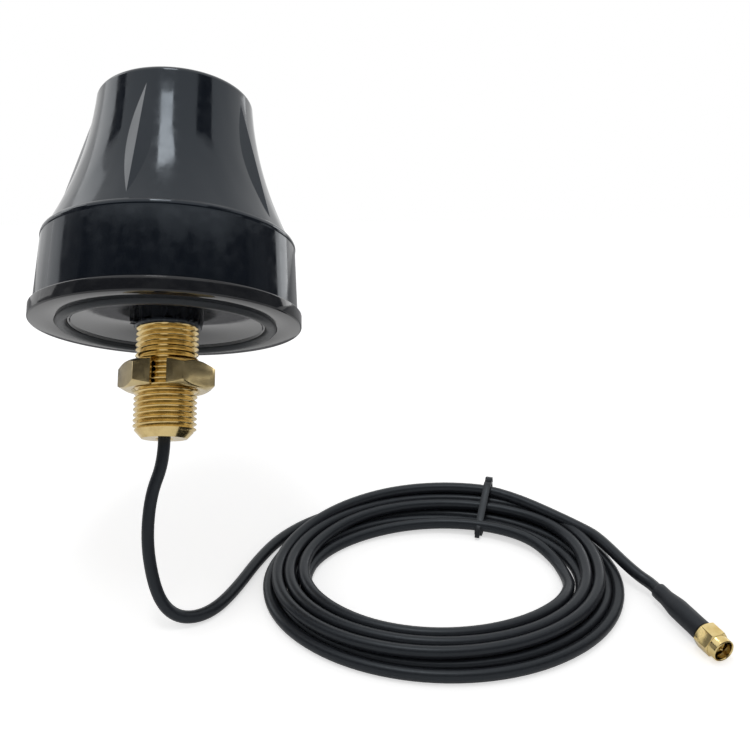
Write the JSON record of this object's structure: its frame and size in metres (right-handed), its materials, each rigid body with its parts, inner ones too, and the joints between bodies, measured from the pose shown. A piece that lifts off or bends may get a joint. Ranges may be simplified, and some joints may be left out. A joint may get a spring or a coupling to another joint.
{
  "type": "puck antenna",
  "caption": "Black through-panel antenna: ribbed bell cover on a round sealed base, threaded brass stud with slotted nut, coiled coaxial lead with a gold plug.",
  "frame": {"origin": "on the stud's axis, in the plane of the base's flat underside, where the panel lies", "axes": "+Z along the stud's axis towards the crown of the radome, -Z out of the stud's end; +X towards the coil, -Y towards the nut's slot"},
  "size_m": [0.2243, 0.1092, 0.199],
  "materials": {
    "radome_black": "polished black moulding",
    "base_black": "smooth black moulding",
    "rubber_black": "satin",
    "sealant_black": "satin",
    "brass": "bright, machined",
    "aluminium": "satin",
    "steel": "plain",
    "board_green": "satin",
    "copper": "bright copper",
    "nylon_white": "matte",
    "jacket_black": "satin",
    "braid_tin": "tinned",
    "dielectric_white": "matte",
    "solder": "bright",
    "tie_black": "satin",
    "sleeve_black": "matte",
    "gold": "gold plated",
    "gasket_red": "satin"
  },
  "bodies": {
    "antenna": {"radome": "radome_black", "base": "base_black", "sealing_ring": "rubber_black", "threaded_stud": "brass", "slotted_nut": "brass", "sealant_bead": "sealant_black", "ground_plate": "aluminium", "plate_screws": "steel", "lock_washer": "steel", "lock_nut": "brass", "antenna_board": "board_green", "radiator": "copper", "board_clip_left": "nylon_white", "board_clip_right": "nylon_white", "clip_screws": "steel", "board_screws": "steel", "feed_cable": "jacket_black", "feed_braid": "braid_tin", "feed_dielectric": "dielectric_white", "feed_wire": "copper", "solder_joint": "solder", "lead_tube": "jacket_black", "lead_coil": "jacket_black", "tail_tube": "jacket_black", "coil_tie": "tie_black", "shrink_sleeve": "sleeve_black", "crimp_ferrule": "gold", "plug_body": "gold", "snap_ring": "gold", "plug_gasket": "gasket_red", "plug_insulator": "dielectric_white", "plug_pin": "gold"},
    "coupling_nut": {"coupling_nut": "gold"}
  },
  "joints": [
    {"name": "coupling_nut_turn", "type": "hinge", "parent": "antenna", "child": "coupling_nut", "pos_m": [0.17369, -0.00418, -0.10269], "axis": [0.3535, -0.7663, -0.5365], "continuous": true}
  ]
}
